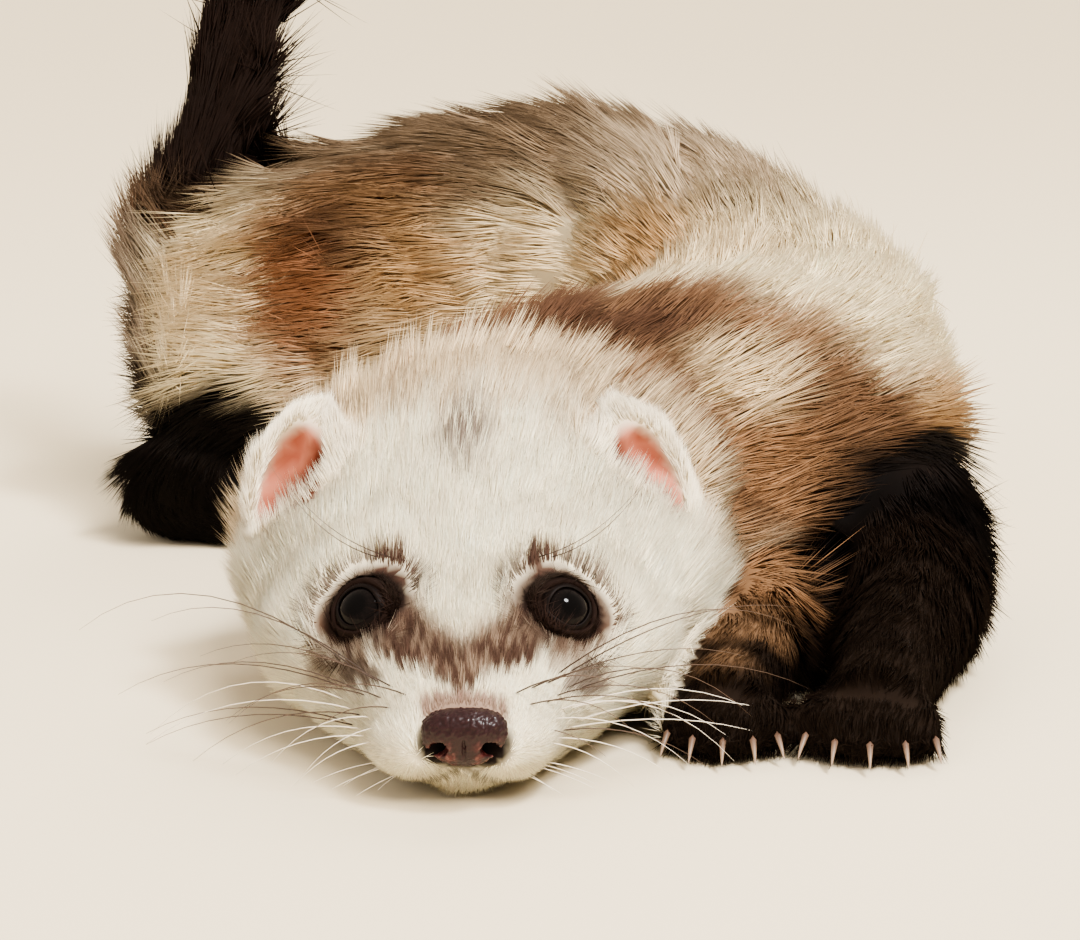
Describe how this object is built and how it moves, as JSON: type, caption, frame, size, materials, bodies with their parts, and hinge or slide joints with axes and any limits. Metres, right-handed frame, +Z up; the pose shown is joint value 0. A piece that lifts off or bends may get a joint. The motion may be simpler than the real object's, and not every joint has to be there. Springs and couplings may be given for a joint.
{
  "type": "lying ferret model",
  "caption": "Life-size still ferret lying with its chin on the floor, body curled round behind it and tail raised.",
  "frame": {"origin": "on the floor, under the middle of the model's box", "axes": "+Z up from the floor, +Y from the nose towards the back, +X towards the ferret's left side"},
  "size_m": [0.1358, 0.2146, 0.1434],
  "materials": {
    "face_fur": "matte short fur",
    "ear_fur": "matte short fur",
    "neck_fur": "matte fur",
    "flank_fur": "matte fur",
    "rump_fur": "matte fur",
    "dark_fur": "matte fur",
    "nose_skin": "satin, damp",
    "eye": "gloss",
    "claw": "satin horn"
  },
  "bodies": {
    "root": {"belly": "flank_fur", "chest": "neck_fur", "claw_fore_left_1": "claw", "claw_fore_left_2": "claw", "claw_fore_left_3": "claw", "claw_fore_left_4": "claw", "claw_fore_left_5": "claw", "claw_fore_right_1": "claw", "claw_fore_right_2": "claw", "claw_fore_right_3": "claw", "claw_fore_right_4": "claw", "claw_fore_right_5": "claw", "claw_hind_left_1": "claw", "claw_hind_left_2": "claw", "claw_hind_left_3": "claw", "claw_hind_left_4": "claw", "claw_hind_left_5": "claw", "claw_hind_right_1": "claw", "claw_hind_right_2": "claw", "claw_hind_right_3": "claw", "claw_hind_right_4": "claw", "claw_hind_right_5": "claw", "ear_left": "ear_fur", "ear_right": "ear_fur", "eye_left": "eye", "eye_right": "eye", "foot_fore_left": "dark_fur", "foot_fore_right": "dark_fur", "foot_hind_left": "dark_fur", "foot_hind_right": "dark_fur", "head": "face_fur", "leg_fore_left": "dark_fur", "leg_fore_right": "dark_fur", "leg_hind_left": "dark_fur", "leg_hind_right": "dark_fur", "loin": "flank_fur", "neck": "neck_fur", "nose": "nose_skin", "rump": "rump_fur", "tail_base": "dark_fur", "tail_middle": "dark_fur", "tail_tip": "dark_fur"}
  },
  "joints": []
}
